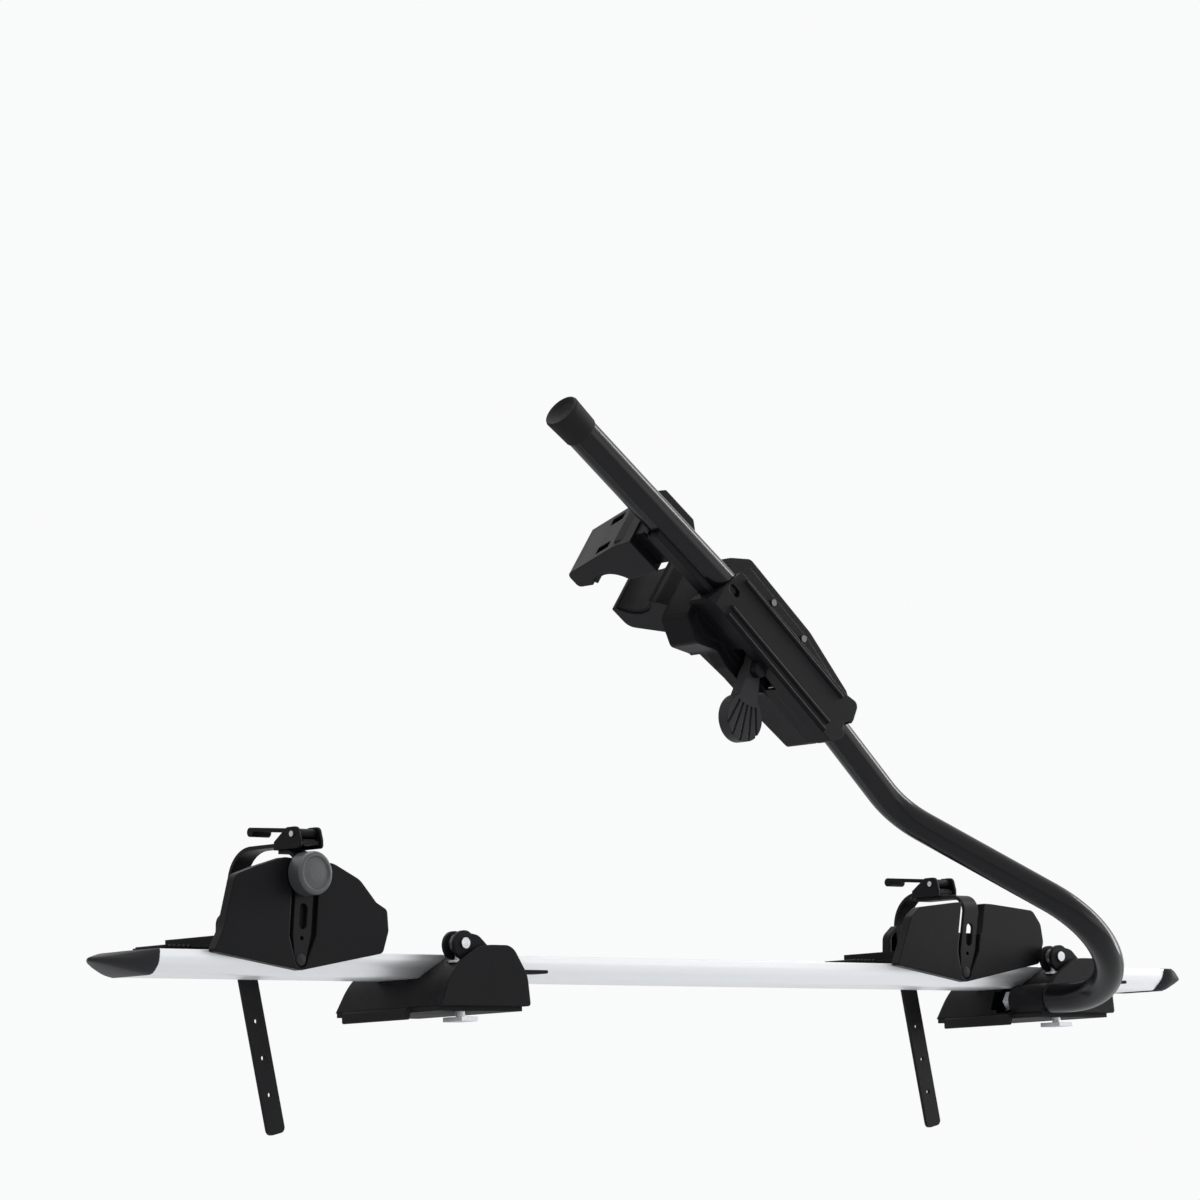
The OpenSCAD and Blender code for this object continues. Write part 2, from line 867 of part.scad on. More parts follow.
// YZ outline of a strap up one side and over to y = over, seen with its side at negative Y
module strap_strip(foot_z, top_z, bend_r, over) {
    in_r = bend_r - strap_t / 2;
    out_r = bend_r + strap_t / 2;
    corner = [-strap_out + bend_r, top_z - bend_r];
    translate([-strap_out - strap_t / 2, foot_z])
        square([strap_t, corner.y - foot_z]);
    translate([corner.x, top_z - strap_t / 2])
        square([over - corner.x, strap_t]);
    intersection() {
        translate(corner)
            difference() {
                circle(out_r);
                circle(in_r);
            }
        translate([corner.x - 2 * out_r, corner.y])
            square(2 * out_r);
    }
}

// Strap from the near wall to the buckle, with its adjusting hole and window
module base_strap_body(lean, top_z, ratchet_y) {
    window_w = 9;
    window_h = 13;
    bend_z = top_z - strap_bend_r;
    dx = buckle_dx(lean, top_z);
    difference() {
        union() {
            slab(-strap_out - strap_t / 2, -strap_out + strap_t / 2)
                near_lane(lean, 0, bend_z);
            along_x(dx - strap_w / 2, dx + strap_w / 2)
                strap_strip(bend_z - 3, top_z, strap_bend_r, ratchet_y + buckle_front - 2);
        }
        rod_y(near_dx, stud_z, stud_r + 0.1, -2 * holder_hw, 0);
        translate([near_dx, 0, stud_z])
            rotate([0, lean, 0]) {
                rod_y(0, 18, 2, -2 * holder_hw, -rail_hw);
                for (z = [30, 30 + window_h])
                    rod_y(0, z, window_w / 2, -2 * holder_hw, -rail_hw);
                translate([-window_w / 2, -2 * holder_hw, 30])
                    cube([window_w, 2 * holder_hw - rail_hw, window_h]);
            }
    }
}

// Long toothed strap from the far wall through the buckle, with its loose tail
module ladder_strap_body(lean, top_z, ratchet_y) {
    z = top_z + ladder_rise;
    bend_z = z - far_bend_r;
    dx = buckle_dx(lean, top_z);
    tooth_h = 1.5;
    teeth = 6;
    mid = [far_dx, strap_out, stud_z];
    difference() {
        union() {
            slab(strap_out - strap_t / 2, strap_out + strap_t / 2)
                far_lane(far_lean(lean, top_z), 0, stud_z, bend_z);
            mirror([0, 1, 0])
                along_x(dx - strap_w / 2, dx + strap_w / 2)
                    strap_strip(bend_z - 3, z, far_bend_r, -ratchet_y + 8);
            for (i = [0:teeth - 1])
                translate([dx - strap_w / 2 + 3, ratchet_y - 7 + i * ladder_pitch, z + strap_t / 2 - 0.2])
                    cube([strap_w - 6, ladder_pitch * 0.55, tooth_h + 0.2]);
            translate(mid)
                rotate([0, -tail_lean, 0])
                    slab(-strap_t / 2, strap_t / 2)
                        polygon(rounded(
                            [[-strap_w / 2, -tail_l], [strap_w / 2, -tail_l], [strap_w / 2, 2], [-strap_w / 2, 2]],
                            [5, 5, 0, 0]
                        ));
        }
        rod_y(far_dx, stud_z, stud_r + 0.1, 0, 2 * holder_hw);
        translate(mid)
            rotate([0, -tail_lean, 0])
                for (down = [48, 80, 112])
                    rod_y(0, -down, 2.2, -strap_t, strap_t);
    }
}

module rivets_body() {
    head_r = 5.5;
    head_t = 2;
    for (side = [0, 1])
        mirror([0, side, 0])
            translate([side == 0 ? near_dx : far_dx, 0, stud_z]) {
                rod_y(0, 0, stud_r - 0.1, -strap_face - 0.5, -rail_hw - gap - 0.4);
                translate([0, -strap_face, 0])
                    rotate([90, 0, 0])
                        rotate_extrude()
                            polygon([[0, 0], [head_r, 0], [head_r - 1, head_t * 0.7], [0, head_t]]);
            }
}

// Thick round cap on a short neck on the rear strap's outer face
module strap_cap_body(lean, top_z) {
    z = top_z - strap_bend_r - 6;
    neck_r = 8;
    neck_l = 2;
    edge = 3;
    crown = 1;
    dish_r = badge_r - edge - 2.2;
    dish = 1.4;
    translate([lane_x(near_dx, lean, z) - 3, -strap_face, z])
        rotate([90, 0, 0])
            rotate_extrude()
                polygon(concat(
                    [[0, 0], [neck_r, 0], [neck_r, neck_l], [badge_r - 0.8, neck_l], [badge_r, neck_l + 0.8]],
                    [for (a = [0:15:75]) [badge_r - edge + edge * cos(a), badge_t - edge - crown + edge * sin(a)]],
                    [[badge_r - edge, badge_t - crown], [dish_r + 1, badge_t - crown], [dish_r, badge_t - crown - dish],
                        [dish_r * 0.5, badge_t - crown - dish * 0.5], [0, badge_t - crown - dish * 0.4]]
                ));
}

// Ratchet buckles

buckle_hw = strap_w / 2 + 3.2;
buckle_back = -10;
buckle_front = 24;
rear_ratchet_y = -44;
front_ratchet_y = -6;
ratchet_rise = 14;
ratchet_pin_r = 2.5;

// Open frame under the pawl lever: a base, two cheeks and the pin's bores
module buckle_body(dx, top_z, ratchet_y) {
    base_z = top_z + strap_t / 2;
    wall = 2.4;
    base_t = 2;
    back = ratchet_y + buckle_back;
    front = ratchet_y + buckle_front;
    translate([dx, 0, 0])
        difference() {
            union() {
                translate([-buckle_hw, max(back, -strap_out + strap_bend_r - 2), base_z])
                    cube([2 * buckle_hw, front - max(back, -strap_out + strap_bend_r - 2), base_t]);
                for (side = [-1, 1])
                    along_x(side * (buckle_hw - wall / 2) - wall / 2, side * (buckle_hw - wall / 2) + wall / 2)
                        polygon(rounded(
                            [[back, base_z], [front, base_z], [front, base_z + 7],
                                [ratchet_y + 7, top_z + ratchet_rise + 6], [ratchet_y - 7, top_z + ratchet_rise + 6],
                                [back, base_z + 7]],
                            [3, 0, 3, 5, 5, 2]
                        ));
            }
            rod_x(ratchet_y, top_z + ratchet_rise, ratchet_pin_r, -2 * buckle_hw, 2 * buckle_hw);
        }
}

module buckle_pin_body(dx, top_z, ratchet_y) {
    half = buckle_hw + 1.2;
    rod_x(ratchet_y, top_z + ratchet_rise, ratchet_pin_r, dx - half, dx + half);
}

// Ratchet lever with a hub, a slotted shank and a round thumb end
module ratchet_body(dx, top_z, ratchet_y) {
    hub_r = 4.6;
    width = 2 * buckle_hw - 2 * 2.4 - 2 * gap;
    rise = 5;
    shank_t = 3.4;
    thumb_r = 4;
    translate([dx, ratchet_y, top_z + ratchet_rise])
        difference() {
            union() {
                rod_x(0, 0, hub_r, -width / 2, width / 2);
                along_x(-width / 2, width / 2)
                    polygon([
                        [0, hub_r - shank_t], [0, hub_r], [ratchet_l, hub_r + rise], [ratchet_l, hub_r + rise - shank_t]
                    ]);
                rod_x(ratchet_l, hub_r + rise - thumb_r, thumb_r, -width / 2, width / 2);
            }
            rod_x(0, 0, ratchet_pin_r + run_fit, -width, width);
            for (side = [-1, 1])
                translate([side * width * 0.22, hub_r + 6, -thumb_r])
                    linear_extrude(4 * thumb_r)
                        polygon(rounded(
                            [[-2.2, 0], [2.2, 0], [2.2, ratchet_l - 28], [-2.2, ratchet_l - 28]], [2, 2, 2, 2]
                        ));
        }
}

module rear_cradle() {
    color(black)
        translate([rear_x, 0, 0])
            cradle_body(rear_wall, rear_wall_r, rear_lean, rear_strap_z, 112);
}

module rear_slide_shoe() {
    color(dark_grey)
        translate([rear_x, 0, 0])
            shoe_body();
}

module rear_shoe_screws() {
    color(steel)
        translate([rear_x, 0, 0])
            shoe_screws_body();
}

module rear_base_strap() {
    color(soft_black)
        translate([rear_x, 0, 0])
            base_strap_body(rear_lean, rear_strap_z, rear_ratchet_y);
}

module rear_ladder_strap() {
    color(soft_black)
        translate([rear_x, 0, 0])
            ladder_strap_body(rear_lean, rear_strap_z, rear_ratchet_y);
}

module rear_strap_rivets() {
    color(dark_grey)
        translate([rear_x, 0, 0])
            rivets_body();
}

module rear_strap_cap() {
    color(badge_grey)
        translate([rear_x, 0, 0])
            strap_cap_body(rear_lean, rear_strap_z);
}

module rear_buckle() {
    color(black)
        translate([rear_x, 0, 0])
            buckle_body(buckle_dx(rear_lean, rear_strap_z), rear_strap_z, rear_ratchet_y);
}

module rear_buckle_pin() {
    color(steel)
        translate([rear_x, 0, 0])
            buckle_pin_body(buckle_dx(rear_lean, rear_strap_z), rear_strap_z, rear_ratchet_y);
}

module rear_ratchet_lever() {
    color(black)
        translate([rear_x, 0, 0])
            ratchet_body(buckle_dx(rear_lean, rear_strap_z), rear_strap_z, rear_ratchet_y);
}

module front_cradle() {
    color(black)
        translate([front_x, 0, 0])
            cradle_body(front_wall, front_wall_r, front_lean, front_strap_z, 80);
}

module front_slide_shoe() {
    color(dark_grey)
        translate([front_x, 0, 0])
            shoe_body();
}

module front_shoe_screws() {
    color(steel)
        translate([front_x, 0, 0])
            shoe_screws_body();
}

module front_base_strap() {
    color(soft_black)
        translate([front_x, 0, 0])
            base_strap_body(front_lean, front_strap_z, front_ratchet_y);
}

module front_ladder_strap() {
    color(soft_black)
        translate([front_x, 0, 0])
            ladder_strap_body(front_lean, front_strap_z, front_ratchet_y);
}

module front_strap_rivets() {
    color(dark_grey)
        translate([front_x, 0, 0])
            rivets_body();
}

module front_buckle() {
    color(black)
        translate([front_x, 0, 0])
            buckle_body(buckle_dx(front_lean, front_strap_z), front_strap_z, front_ratchet_y);
}

module front_buckle_pin() {
    color(steel)
        translate([front_x, 0, 0])
            buckle_pin_body(buckle_dx(front_lean, front_strap_z), front_strap_z, front_ratchet_y);
}

module front_ratchet_lever() {
    color(black)
        translate([front_x, 0, 0])
            ratchet_body(buckle_dx(front_lean, front_strap_z), front_strap_z, front_ratchet_y);
}

// Arm

flange_t = 1.6;
tube_end_y = -bracket_near - flange_t - gap;
kink = [bar_pitch - kink_back, -arm_y, kink_z];
corner = [pivot_x, -corner_y, pivot_z];
arm_dir = [-cos(arm_slope), 0, sin(arm_slope)];
tube_top_s = 182;
grip_foot = kink + arm_dir * housing_e;
arm_path = [[pivot_x, tube_end_y, pivot_z], corner, kink, kink + arm_dir * tube_top_s];
arm_bends = [arm_bend_r, kink_r];

// Places children with local X, Y and Z along the given axes at an origin
module on_axes(ax, ay, az, origin) {
    multmatrix([
        [ax.x, ay.x, az.x, origin.x],
        [ax.y, ay.y, az.y, origin.y],
        [ax.z, ay.z, az.z, origin.z],
        [0, 0, 0, 1]
    ])
        children();
}

function square_to(v) = unit(abs(v.x) < 0.9 * norm(v) ? cross(v, [1, 0, 0]) : cross(v, [0, 1, 0]));

function bend_reach(p, q, a, r) = r * tan(turn_angle(q - p, a - q) / 2);

// A straight rod of radius r from p to q
module stretch(p, q, r) {
    az = unit(q - p);
    ax = square_to(az);
    on_axes(ax, cross(az, ax), az, p)
        cylinder(h = norm(q - p), r = r);
}

// A round bend of a rod at corner q between p and a
module bend(p, q, a, bend_r, r) {
    way_in = unit(q - p);
    way_out = unit(a - q);
    turn = turn_angle(way_in, way_out);
    centre = q + unit(way_out - way_in) * bend_r / cos(turn / 2);
    ax = unit(q - way_in * bend_reach(p, q, a, bend_r) - centre);
    on_axes(ax, way_in, cross(ax, way_in), centre)
        rotate_extrude(angle = turn)
            translate([bend_r, 0])
                circle(r);
}

// A rod along straight stretches with round bends; seam balls knit the stretches to the bends
module bent_rod(path, radii, r) {
    seam = 0.05;
    slit = 0.03;
    last = len(path) - 1;
    for (i = [0:last - 1]) {
        way = unit(path[i + 1] - path[i]);
        cut0 = i == 0 ? 0 : bend_reach(path[i - 1], path[i], path[i + 1], radii[i - 1]) + slit;
        cut1 = i == last - 1 ? 0 : bend_reach(path[i], path[i + 1], path[i + 2], radii[i]) + slit;
        start = path[i] + way * cut0;
        end = path[i + 1] - way * cut1;
        stretch(start, end, r);
        if (i > 0)
            translate(start)
                sphere(r + seam);
        if (i < last - 1)
            translate(end)
                sphere(r + seam);
    }
    for (i = [1:last - 1])
        bend(path[i - 1], path[i], path[i + 1], radii[i - 1], r);
}

module arm_tube() {
    color(black)
        difference() {
            bent_rod(arm_path, arm_bends, arm_r);
            bent_rod(arm_path, arm_bends, arm_r - arm_wall);
        }
}

// Axle with a plug in the tube's end and a threaded inner end
module arm_axle() {
    plug_l = 18;
    thread_r = axle_r - 2;
    color(steel) {
        rod_y(pivot_x, pivot_z, arm_r - arm_wall, tube_end_y - plug_l, tube_end_y);
        rod_y(pivot_x, pivot_z, axle_r, tube_end_y, -bush_in);
        rod_y(pivot_x, pivot_z, thread_r, -bush_in, -16);
    }
}

module axle_nut() {
    thread_r = axle_r - 2;
    washer_t = 1.6;
    nut_t = 9;
    face = -bush_in + gap;
    color(steel)
        difference() {
            union() {
                rod_y(pivot_x, pivot_z, nut_r, face, face + washer_t);
                rod_y(pivot_x, pivot_z, nut_r - 0.5, face + washer_t, face + washer_t + nut_t, 6);
            }
            rod_y(pivot_x, pivot_z, thread_r, -2 * bush_in, 0);
        }
}

module axle_bush() {
    color(dark_grey)
        difference() {
            union() {
                rod_y(pivot_x, pivot_z, bush_r, -bracket_near, -bush_in);
                rod_y(pivot_x, pivot_z, bush_r + 3, -bracket_near - flange_t, -bracket_near);
            }
            rod_y(pivot_x, pivot_z, axle_r + run_fit, -2 * bracket_near, 0);
        }
}

// Clamp housing frame: X up the housing from the kink, Y out to the near side, Z across
module case_frame() {
    translate(kink)
        rotate([0, case_slope, 0])
            rotate([0, 0, 180])
                children();
}

// Sliding tube frame: X up the tube from the housing's top
module grip_frame() {
    translate(grip_foot)
        rotate([0, grip_slope, 0])
            rotate([0, 0, 180])
                children();
}

guide_r = grip_r + 0.3;
rack_w = 12;
rack_t = 6;
rack_top = grip_r + rack_t;
travel_in = 20;
jaw_arc = 55;
seat_r = clamp_r + jaw_pad_t;
jaw_reach = seat_r * sin(jaw_arc) + jaw_t;
lip_rise = seat_r * cos(jaw_arc);
fork_s = 222;
fork_v = -24;
paddle_pin_r = 3;
lug_w = 24;
lever_near = 4;

// Housing outline: length along the housing, then height across it
housing_top = housing_e + 16;
housing_outline = [
    [housing_s, -14], [190, -20], [204, -33], [240, -34], [258, -30], [housing_top - 25, -42], [housing_top, -30],
    [housing_top + 3, 34], [housing_top - 10, 50], [housing_top - 30, 67], [178, 66],
    [housing_s - 6, 54], [housing_s - 11, 36], [housing_s, 26]
];
housing_radii = [6, 10, 6, 8, 10, 6, 6, 8, 12, 10, 40, 12, 8, 4];
wing_screws = [[232, 53], [183, 53], [136, 38]];
wing_near = -12;
plate_rise = 2;

// Cover outline, with a slanted top and a bulge at its lower corner
cover_outline = [
    [housing_s + 8, -20], [housing_top + 6, -20], [housing_top - 9, 27], [housing_s + 20, 29], [housing_s + 2, 33],
    [housing_s - 2, 16], [housing_s, -8]
];
cover_radii = [5, 3, 4, 15, 6, 6, 6];

// Room for both tubes, the rack and the pawl lever inside the housing and its cover
module housing_room() {
    room_l = grip_in + travel_in + 4;
    rotate([0, case_slope - arm_slope, 0])
        rotate([0, 90, 0])
            cylinder(h = tube_top_s + 0.5, r = arm_r + run_fit);
    in_grip() {
        translate([-room_l, 0, 0])
            rotate([0, 90, 0])
                cylinder(h = room_l + 60, r = guide_r);
        translate([-room_l, -rack_w / 2 - 0.5, -rack_top - 0.6])
            cube([room_l + 60, rack_w + 1, rack_top]);
    }
    translate([fork_s - 30, -lever_w_far, -100])
        cube([54, lever_w_far + lever_near + 1, 100 + fork_v + 24]);
}

lever_w_far = paddle_t - lever_near + 1;

// The sliding tube's frame seen from the housing's frame
module in_grip() {
    apart = arm_slope - case_slope;
    translate([housing_e * cos(apart), 0, housing_e * sin(apart)])
        rotate([0, case_slope - grip_slope, 0])
            children();
}

// Concave seat of a jaw about the frame tube's axis
module jaw_seat(r) {
    translate([clamp_t, -arm_y, -3 * jaw_hw])
        cylinder(h = 6 * jaw_hw, r = r, $fn = 128);
}

// Casting behind the arm that carries the fixed jaw
module clamp_housing() {
    neck_top = clamp_t - seat_r + 2;
    deep = -housing_w - 1;
    color(black)
        case_frame()
            difference() {
                union() {
                    slab(-housing_w, wing_near)
                        polygon(rounded(housing_outline, housing_radii));
                    slab(wing_near - 1, wing_near + plate_rise)
                        polygon(rounded(inset(housing_outline, 8), [for (r = housing_radii) max(r - 6, 2)]));
                    slab(wing_near - 1, 0)
                        polygon(rounded(inset(cover_outline, 0.6), cover_radii));
                    in_grip()
                        linear_extrude_centre(2 * jaw_hw)
                            polygon(rounded(
                                [[-22, -housing_w + 6], [-18, -arm_y + 14], [-2, -arm_y - jaw_reach],
                                    [clamp_t - lip_rise, -arm_y - jaw_reach], [clamp_t - lip_rise, -arm_y + jaw_reach],
                                    [neck_top, -housing_w + 6]],
                                [0, 30, 10, 2, 4, 0]
                            ));
                }
                housing_room();
                in_grip()
                    jaw_seat(seat_r);
                rod_y(fork_s, fork_v, paddle_pin_r, -lug_w, 1);
                slab(deep, -lug_w - 2)
                    polygon(rounded([[184, -80], [262, -80], [256, -23], [190, -16]], [0, 0, 6, 6]));
                for (p = wing_screws)
                    rod_y(p.x, p.y, 2, wing_near - 8, 1);
                slab(deep, wing_near - 8)
                    polygon(rounded([[126, 26], [196, 26], [196, 56], [178, 56], [134, 43]], [3, 3, 3, 6, 6]));
                slab(deep, wing_near - 8)
                    polygon(rounded([[204, 26], [258, 26], [258, 57], [204, 57]], [3, 3, 3, 3]));
                slab(deep, wing_near - 14)
                    polygon(rounded([[120, -6], [182, -12], [182, 20], [120, 20]], [3, 3, 3, 3]));
            }
}

module linear_extrude_centre(h) {
    translate([0, 0, -h / 2])
        linear_extrude(h)
            children();
}

// Near cover with long ribs, a bevelled top and a notched lower end
module clamp_cover() {
    rib_r = 2.2;
    bevel = 10;
    end = housing_top + 6;
    lug_r = 7;
    color(black)
        case_frame()
            difference() {
                union() {
                    difference() {
                        slab(0, cover_w)
                            polygon(rounded(cover_outline, cover_radii));
                        translate([end, cover_w, 0])
                            rotate([0, 0, 45])
                                cube([bevel, bevel, 200], center = true);
                    }
                    for (v = [-17, -8, 23])
                        translate([housing_s + 22, cover_w, v])
                            rotate([0, 90, 0])
                                cylinder(h = end - housing_s - 46, r = rib_r);
                    rod_y(fork_s, fork_v, lug_r, lever_near + 1, lever_near + 8);
                }
                housing_room();
                rod_y(fork_s, fork_v, paddle_pin_r, -1, lever_near + 7);
                rod_y(housing_s - 2, 5, 7, -1, 2 * cover_w);
                for (ds = [-3, 3])
                    rod_y(housing_e + 4 + ds, 6, 4, -1, 2 * cover_w);
                translate([housing_e + 1, -1, 2])
                    cube([6, 2 * cover_w, 8]);
            }
}

module cover_screws() {
    head_r = 3.2;
    head_t = 1.6;
    face = wing_near + plate_rise;
    color(steel)
        case_frame()
            for (p = wing_screws) {
                rod_y(p.x, p.y, 2, wing_near - 7, face);
                rod_y(p.x, p.y, head_r, face, face + head_t);
            }
}

// Rubber lining of a jaw: the arc opens towards the given side of the frame tube
module jaw_lining(way) {
    half = jaw_hw - 2;
    spread = 2 * seat_r;
    translate([clamp_t, -arm_y, 0])
        linear_extrude_centre(2 * half)
            intersection() {
                difference() {
                    circle(seat_r, $fn = 128);
                    circle(clamp_r, $fn = 128);
                }
                polygon([
                    [0, 0], way * spread * [cos(jaw_arc - 4), sin(jaw_arc - 4)], way * [2 * spread, 0],
                    way * spread * [cos(jaw_arc - 4), -sin(jaw_arc - 4)]
                ]);
            }
}

module fixed_jaw_pad() {
    color(soft_black)
        grip_frame()
            jaw_lining(-1);
}

module paddle_pin() {
    color(steel)
        case_frame()
            rod_y(fork_s, fork_v, paddle_pin_r, -lug_w, lever_near + 6);
}

// Leaf spring that keeps the pawl towards the rack
module paddle_spring() {
    leaf_t = 1.2;
    root = fork_s - 30 + gap;
    color(steel)
        case_frame()
            slab(-paddle_t + lever_near + 3, lever_near - 3)
                polygon([
                    [root, fork_v + 6], [root + leaf_t, fork_v + 6], [root + leaf_t, fork_v + 16],
                    [fork_s - 15, fork_v + 12], [fork_s - 15, fork_v + 12 + leaf_t], [root, fork_v + 16 + leaf_t]
                ]);
}

fan_c = [206, -67];

// Squeeze lever: a pawl nose under the rack and a grooved fan for the thumb
module release_paddle() {
    hub_r = 7;
    nose_v = -rack_top - gap;
    reach = fan_c - [fork_s, fork_v];
    side = unit([-reach.y, reach.x]) * 7;
    groove_w = 2.6;
    groove_d = 2;
    color(dark_grey)
        case_frame()
            difference() {
                union() {
                    slab(-paddle_t + lever_near, lever_near) {
                        translate([fork_s, fork_v])
                            circle(hub_r);
                        polygon([
                            [fork_s, fork_v] + side, fan_c + 2.2 * side, fan_c - 2.2 * side, [fork_s, fork_v] - side
                        ]);
                        translate(fan_c)
                            circle(paddle_r);
                    }
                    intersection() {
                        slab(-rack_w / 2, rack_w / 2 - 2.5)
                            polygon([
                                [fork_s - hub_r + 1, fork_v], [fork_s + hub_r, fork_v], [fork_s + 15, 0], [fork_s + 6, 0]
                            ]);
                        in_grip()
                            translate([-200, -50, -100])
                                cube([400, 100, 100 + nose_v]);
                    }
                }
                rod_y(fork_s, fork_v, paddle_pin_r + run_fit, -50, 50);
                for (i = [0:paddle_grooves - 1])
                    translate([fork_s, lever_near, fork_v])
                        rotate([0, atan2(-reach.y, reach.x) + (i - (paddle_grooves - 1) / 2) * 9, 0])
                            translate([norm(reach) - paddle_r * 0.55, -groove_d, -groove_w / 2])
                                cube([2 * paddle_r, 2 * groove_d, groove_w]);
            }
}

// Sliding upper tube

module upper_tube() {
    color(black)
        grip_frame()
            translate([-grip_in, 0, 0])
                rotate([0, 90, 0])
                    difference() {
                        cylinder(h = grip_in + grip_l - 8, r = grip_r);
                        translate([0, 0, -1])
                            cylinder(h = grip_in + grip_l, r = grip_r - arm_wall);
                    }
}

// Flared sleeve with a deep dished end
module handle_cap() {
    color(soft_black)
        grip_frame()
            translate([grip_l - knob_l, 0, 0])
                rotate([0, 90, 0])
                    rotate_extrude()
                        polygon([
                            [grip_r, 0], [grip_r + 0.6, 0], [grip_r + 1, 1], [grip_r + knob_flare, knob_l - 2],
                            [grip_r + knob_flare - 0.6, knob_l - 0.6], [grip_r + knob_flare - 1.6, knob_l],
                            [grip_r - 0.6, knob_l - 0.6], [grip_r - 4, knob_l - 3.4], [grip_r * 0.4, knob_l - 5.4],
                            [0, knob_l - 5.8], [0, knob_l - 8], [grip_r, knob_l - 8]
                        ]);
}

// Toothed strip along the tube's underside
module clamp_rack() {
    top = clamp_t + lip_rise + jaw_h - 4;
    length = top + grip_in;
    count = floor((grip_in - 8) / rack_pitch);
    color(black)
        grip_frame()
            translate([-grip_in, -rack_w / 2, -rack_top])
                difference() {
                    cube([length, rack_w, rack_t + 2]);
                    translate([-1, rack_w / 2, rack_top])
                        rotate([0, 90, 0])
                            cylinder(h = length + 2, r = grip_r);
                    for (i = [0:count - 1])
                        translate([6 + i * rack_pitch, -1, -1])
                            cube([rack_pitch * 0.5, rack_w - 2, rack_depth + 1]);
                }
}

// Hooked jaw that rides behind the sliding tube on a half collar
module moving_jaw() {
    foot = clamp_t + lip_rise;
    top = foot + jaw_h;
    collar_r = grip_r + 4;
    jaw_tip = 14;
    color(black)
        grip_frame()
            difference() {
                union() {
                    linear_extrude_centre(2 * jaw_hw)
                        polygon(rounded(
                            [[foot, -arm_y - jaw_reach - jaw_tip], [foot, -arm_y + jaw_reach], [foot + 4, -grip_r - 8],
                                [top, -grip_r - 8], [top - 4, -arm_y + 36], [foot + 18, -arm_y - jaw_reach - jaw_tip]],
                            [4, 4, 0, 0, 30, 8]
                        ));
                    slab(-arm_y + 38, -grip_r - 9)
                        polygon(rounded(
                            [[foot + 6, -jaw_hw + 4], [top - 2, -jaw_hw + 4], [top - 2, 36], [top - 10, 44],
                                [foot - 6, 44], [foot - 14, 36], [foot - 14, 16], [foot + 6, 16]],
                            [3, 3, 4, 4, 4, 4, 4, 4]
                        ));
                    difference() {
                        translate([foot + 4, 0, 0])
                            rotate([0, 90, 0])
                                cylinder(h = top - foot - 6, r = collar_r);
                        translate([foot, -3, -2 * collar_r])
                            cube([2 * jaw_h, 4 * collar_r, 4 * collar_r]);
                    }
                    translate([foot + 4, -grip_r - 10, -collar_r + 3])
                        cube([top - foot - 6, 12, 2 * collar_r - 6]);
                }
                rotate([0, 90, 0])
                    cylinder(h = 2 * top, r = grip_r);
                translate([foot - 10, -rack_w / 2 - 0.1, -rack_top - 0.1])
                    cube([2 * top, rack_w + 0.2, rack_top]);
                jaw_seat(seat_r);
                for (side = [-1, 1])
                    translate([foot + 12, -arm_y + 4, side * (jaw_hw - 9) - 4])
                        cube([2 * jaw_h, 22, 8]);
            }
}

module moving_jaw_pad() {
    color(soft_black)
        grip_frame()
            jaw_lining(1);
}

rail();
rear_end_cap();
front_end_cap();
rail_screws();
rear_bracket();
rear_bar_pad();
rear_cam_saddle();
rear_t_bolt();
rear_cam_pin();
rear_cam_lever();
front_bracket();
front_bar_pad();
front_cam_saddle();
front_t_bolt();
front_cam_pin();
front_cam_lever();
axle_bush();
rear_cradle();
rear_slide_shoe();
rear_shoe_screws();
rear_base_strap();
rear_ladder_strap();
rear_strap_rivets();
rear_strap_cap();
rear_buckle();
rear_buckle_pin();
rear_ratchet_lever();
front_cradle();
front_slide_shoe();
front_shoe_screws();
front_base_strap();
front_ladder_strap();
front_strap_rivets();
front_buckle();
front_buckle_pin();
front_ratchet_lever();
arm_tube();
arm_axle();
axle_nut();
clamp_housing();
clamp_cover();
cover_screws();
fixed_jaw_pad();
paddle_pin();
paddle_spring();
release_paddle();
upper_tube();
handle_cap();
clamp_rack();
moving_jaw();
moving_jaw_pad();
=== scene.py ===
# %% [markdown]
# # A roof bike carrier, dressed for a photograph
# The carrier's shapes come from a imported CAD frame: a channel rail on two quick-clamp brackets, two
# wheel holders with ratchet straps, and a folding arm with a frame clamp. This notebook gives each
# piece its finish, lights the set and places the camera. Everything is procedural, so no picture files
# are used, and nothing in the CAD is moved or reshaped.

import json
import math

import bpy
from mathutils import Matrix, Vector


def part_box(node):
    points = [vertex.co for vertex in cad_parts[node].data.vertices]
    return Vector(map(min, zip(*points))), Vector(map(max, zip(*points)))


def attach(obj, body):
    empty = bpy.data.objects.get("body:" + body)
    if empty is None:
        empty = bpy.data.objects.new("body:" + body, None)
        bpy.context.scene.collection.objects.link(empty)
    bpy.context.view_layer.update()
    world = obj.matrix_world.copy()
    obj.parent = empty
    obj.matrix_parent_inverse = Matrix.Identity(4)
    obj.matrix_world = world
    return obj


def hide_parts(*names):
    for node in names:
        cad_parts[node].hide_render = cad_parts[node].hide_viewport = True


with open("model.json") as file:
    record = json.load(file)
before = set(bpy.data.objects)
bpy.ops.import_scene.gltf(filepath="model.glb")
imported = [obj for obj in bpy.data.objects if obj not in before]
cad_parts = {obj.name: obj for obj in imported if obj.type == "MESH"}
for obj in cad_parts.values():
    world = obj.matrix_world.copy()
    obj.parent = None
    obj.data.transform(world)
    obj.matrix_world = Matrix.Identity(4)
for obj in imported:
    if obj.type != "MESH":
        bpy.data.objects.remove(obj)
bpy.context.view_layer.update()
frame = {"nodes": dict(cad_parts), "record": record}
nodes = frame["nodes"]
scene = bpy.context.scene
scene.view_settings.view_transform = "Standard"

